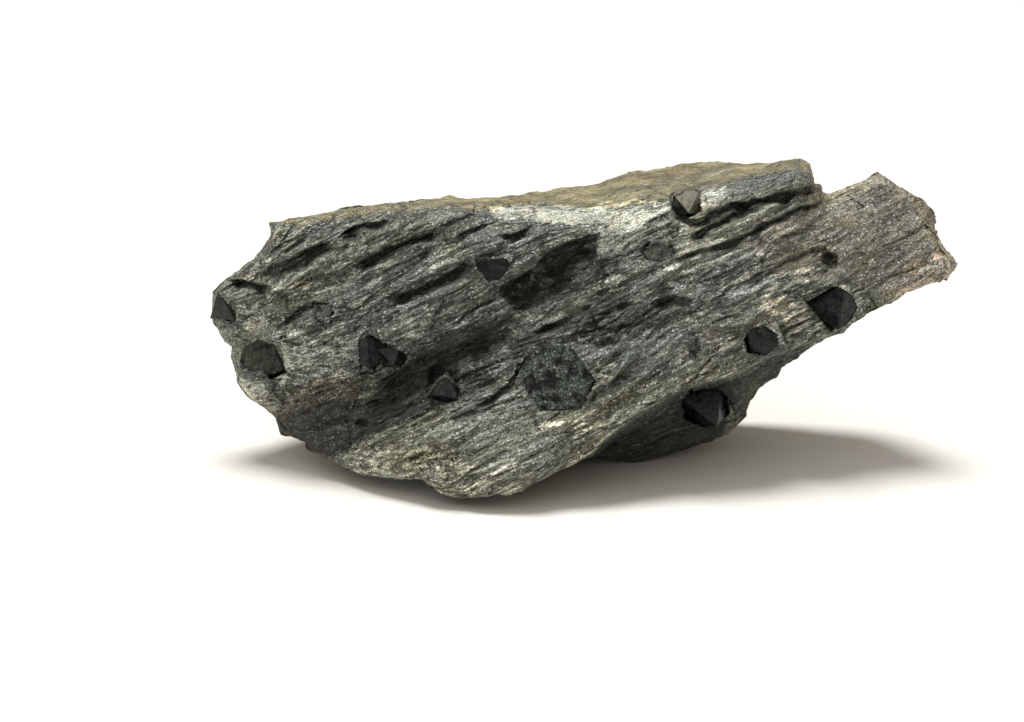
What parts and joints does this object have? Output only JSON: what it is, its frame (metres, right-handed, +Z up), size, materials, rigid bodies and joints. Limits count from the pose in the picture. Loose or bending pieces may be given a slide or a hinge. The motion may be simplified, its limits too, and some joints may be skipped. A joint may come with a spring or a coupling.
{
  "type": "magnetite crystals in chlorite schist hand specimen",
  "caption": "Broken hand specimen of grey-green chlorite schist, a slanting slab with ledges, set with black magnetite octahedra; a mineral sample to lay on a shelf.",
  "frame": {"origin": "on the surface the stone rests on, under the middle of its bounding box", "axes": "+X along the slab to the right, +Y away from the face with the crystals, +Z up"},
  "size_m": [0.0806, 0.0344, 0.033],
  "materials": {
    "chlorite_schist": "broken, finely glittering",
    "magnetite": "metallic grey-black, part bright, part granular"
  },
  "bodies": {
    "root": {"schist_matrix": "chlorite_schist", "magnetite_broken_large": "magnetite", "magnetite_upper_slab": "magnetite", "magnetite_lower_triangle": "magnetite", "magnetite_left_pit": "magnetite", "magnetite_left_end": "magnetite", "magnetite_right_octahedron": "magnetite", "magnetite_right_small": "magnetite", "magnetite_top_slab": "magnetite", "magnetite_under_plate": "magnetite", "magnetite_left_small": "magnetite", "magnetite_grey_lozenge": "magnetite", "magnetite_twin_left": "magnetite", "magnetite_back_left": "magnetite", "magnetite_back_middle": "magnetite", "magnetite_back_right": "magnetite"}
  },
  "joints": []
}
